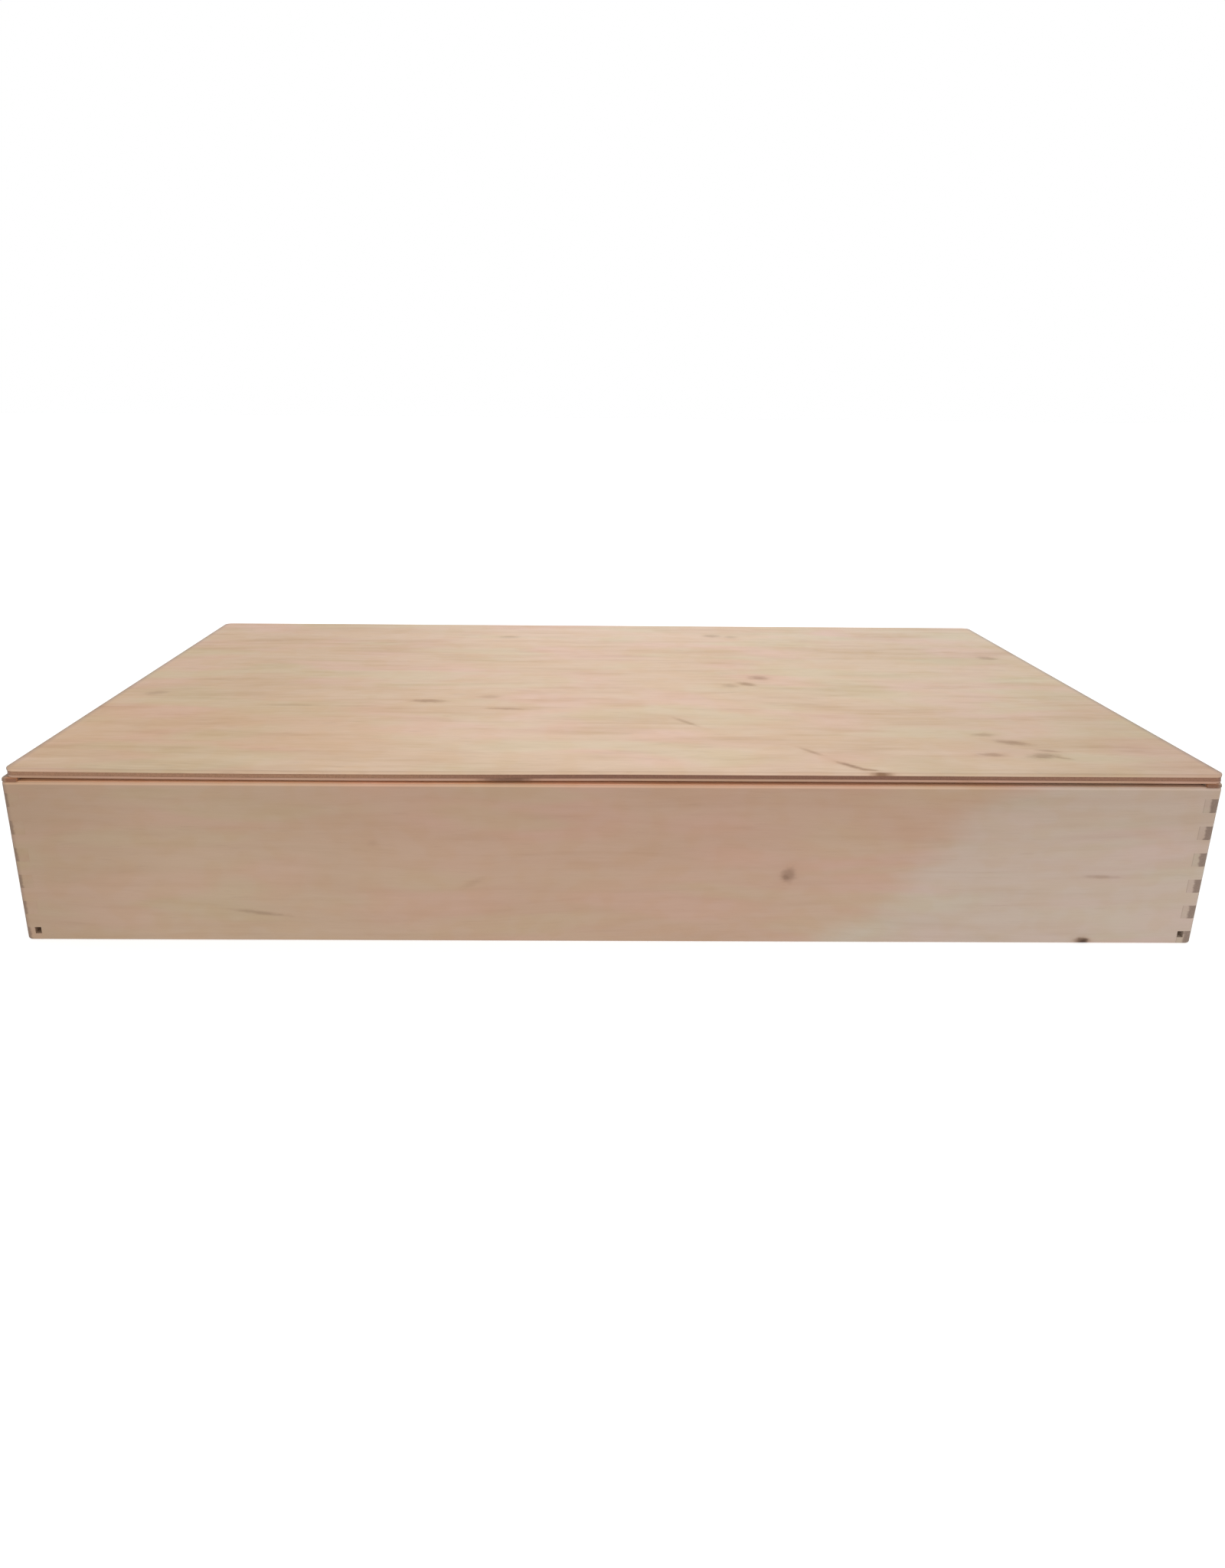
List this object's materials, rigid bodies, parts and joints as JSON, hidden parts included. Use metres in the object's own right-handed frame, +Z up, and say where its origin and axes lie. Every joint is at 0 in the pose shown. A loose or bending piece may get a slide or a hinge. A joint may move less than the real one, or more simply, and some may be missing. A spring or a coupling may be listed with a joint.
{
  "type": "apple box",
  "caption": "Shallow finger-jointed wooden riser box with a loose lift-off plywood lid, end hand holes and a centre brace.",
  "frame": {"origin": "middle of the footprint, on the surface that the box stands on", "axes": "+X along the length to the box's right, +Y from the front face to the rear, +Z up"},
  "size_m": [0.508, 0.305, 0.0784],
  "materials": {
    "board_wood": "bare sanded wood",
    "end_board_wood": "bare sanded wood",
    "panel_wood": "bare sanded wood",
    "batten_wood": "bare sanded wood",
    "brace_wood": "bare sanded wood",
    "lid_wood": "bare sanded wood",
    "brad_steel": "bright drawn wire"
  },
  "bodies": {
    "box": {"front_board": "board_wood", "rear_board": "board_wood", "left_end_board": "end_board_wood", "right_end_board": "end_board_wood", "bottom_panel": "panel_wood", "bottom_runner": "batten_wood", "centre_brace": "brace_wood", "runner_brads": "brad_steel"},
    "lid": {"lid_panel": "lid_wood", "left_lid_batten": "batten_wood", "right_lid_batten": "batten_wood", "lid_brads": "brad_steel"}
  },
  "joints": [
    {"name": "lid_lift", "type": "slide", "parent": "box", "child": "lid", "axis": [0, 0, 1], "range_m": [0, 0.12]}
  ]
}
